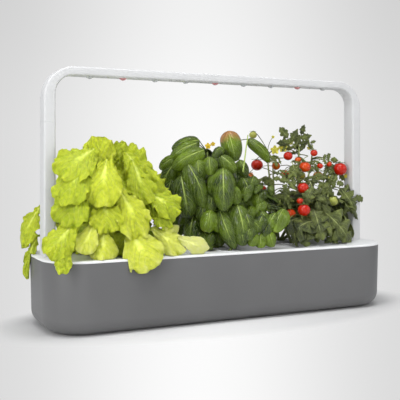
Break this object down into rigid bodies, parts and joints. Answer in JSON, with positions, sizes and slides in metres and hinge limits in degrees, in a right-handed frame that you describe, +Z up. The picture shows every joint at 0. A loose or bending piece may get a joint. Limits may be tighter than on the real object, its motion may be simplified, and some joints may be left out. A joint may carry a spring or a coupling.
{
  "type": "countertop hydroponic garden",
  "caption": "Long water tank with a drop-in lid, lift-out plant trays, a float gauge and a lamp arch on plug-together arms over lettuce, basil and tomato plants.",
  "frame": {"origin": "on the table under the middle of the tank, at the underside of the middle foot strip", "axes": "+X along the tank to the right, +Y to the back, +Z up"},
  "size_m": [0.6312, 0.2362, 0.407],
  "materials": {
    "tank": "fine matt moulding, charcoal grey",
    "rubber_feet": "matt black",
    "white_moulding": "satin white moulding",
    "white_arm_plastic": "satin white moulding",
    "float_foam": "closed-cell foam",
    "black_plastic": "satin black",
    "contact_metal": "plated strips in a moulded holder",
    "wire_insulation": "soft insulation",
    "circuit_board": "solder mask",
    "lamp_circuit_board": "white solder mask",
    "led_phosphor": "phosphor",
    "screw_steel": "plain",
    "growing_medium": "fibrous peat block, damp",
    "wick_felt": "woven felt",
    "clear_lens": "moulded clear lens",
    "red_lens": "moulded tinted lens",
    "lettuce_leaf": "waxy ruffled leaf",
    "basil_leaf": "glossy cupped leaf",
    "tomato_leaf": "soft lobed leaf",
    "tomato_skin": "glossy skin"
  },
  "bodies": {
    "tank": {"tank": "tank", "foot_strip_left": "rubber_feet", "foot_strip_middle": "rubber_feet", "foot_strip_right": "rubber_feet"},
    "lid": {"lid": "white_moulding", "power_socket": "black_plastic", "power_pin": "contact_metal", "control_cover": "white_moulding", "control_board": "circuit_board", "cover_screws": "screw_steel", "lid_contacts": "contact_metal", "lead_wires": "wire_insulation"},
    "tray_left": {"tray_left": "white_moulding", "cup_1": "white_moulding", "cup_2": "white_moulding", "cup_3": "white_moulding", "growing_blocks_left": "growing_medium", "wicks_left": "wick_felt", "lettuce_plants": "lettuce_leaf"},
    "tray_middle": {"tray_middle": "white_moulding", "cup_4": "white_moulding", "cup_5": "white_moulding", "cup_6": "white_moulding", "growing_blocks_middle": "growing_medium", "wicks_middle": "wick_felt", "basil_plants": "basil_leaf"},
    "tray_right": {"tray_right": "white_moulding", "cup_7": "white_moulding", "cup_8": "white_moulding", "cup_9": "white_moulding", "growing_blocks_right": "growing_medium", "wicks_right": "wick_felt", "tomato_plants": "tomato_leaf", "tomato_fruits": "tomato_skin"},
    "float": {"gauge_cap": "white_moulding", "gauge_stem": "white_moulding", "gauge_float": "float_foam"},
    "lower_left": {"lower_arm_left": "white_arm_plastic", "lower_arm_contacts": "contact_metal"},
    "lower_right": {"lower_arm_right": "white_arm_plastic"},
    "upper_left": {"upper_arm_left": "white_arm_plastic", "upper_arm_contacts": "contact_metal"},
    "upper_right": {"upper_arm_right": "white_arm_plastic"},
    "lamp": {"lamp_housing": "white_arm_plastic", "lamp_cover": "white_arm_plastic", "lamp_board": "lamp_circuit_board", "lamp_leds": "led_phosphor", "lenses_white": "clear_lens", "lenses_red": "red_lens", "lamp_screws": "screw_steel", "lamp_contacts": "contact_metal"}
  },
  "joints": [
    {"name": "lid_lift", "type": "slide", "parent": "tank", "child": "lid", "axis": [0, 0, 1], "range_m": [0, 0.11]},
    {"name": "tray_left_lift", "type": "slide", "parent": "lid", "child": "tray_left", "axis": [0, 0, 1], "range_m": [0, 0.06]},
    {"name": "tray_middle_lift", "type": "slide", "parent": "lid", "child": "tray_middle", "axis": [0, 0, 1], "range_m": [0, 0.06]},
    {"name": "tray_right_lift", "type": "slide", "parent": "lid", "child": "tray_right", "axis": [0, 0, 1], "range_m": [0, 0.06]},
    {"name": "float_rise", "type": "slide", "parent": "lid", "child": "float", "axis": [0, 0, 1], "range_m": [0, 0.03]},
    {"name": "lower_left_lift", "type": "slide", "parent": "lid", "child": "lower_left", "axis": [0, 0, 1], "range_m": [0, 0.018]},
    {"name": "lower_right_lift", "type": "slide", "parent": "lid", "child": "lower_right", "axis": [0, 0, 1], "range_m": [0, 0.018]},
    {"name": "upper_left_lift", "type": "slide", "parent": "lower_left", "child": "upper_left", "axis": [0, 0, 1], "range_m": [0, 0.018]},
    {"name": "upper_right_lift", "type": "slide", "parent": "lower_right", "child": "upper_right", "axis": [0, 0, 1], "range_m": [0, 0.018]},
    {"name": "lamp_lift", "type": "slide", "parent": "upper_left", "child": "lamp", "axis": [0, 0, 1], "range_m": [0, 0.018]}
  ],
  "couplings": [
    {"joint": "lower_right_lift", "follows": "lower_left_lift", "ratio": 1},
    {"joint": "upper_right_lift", "follows": "upper_left_lift", "ratio": 1}
  ]
}
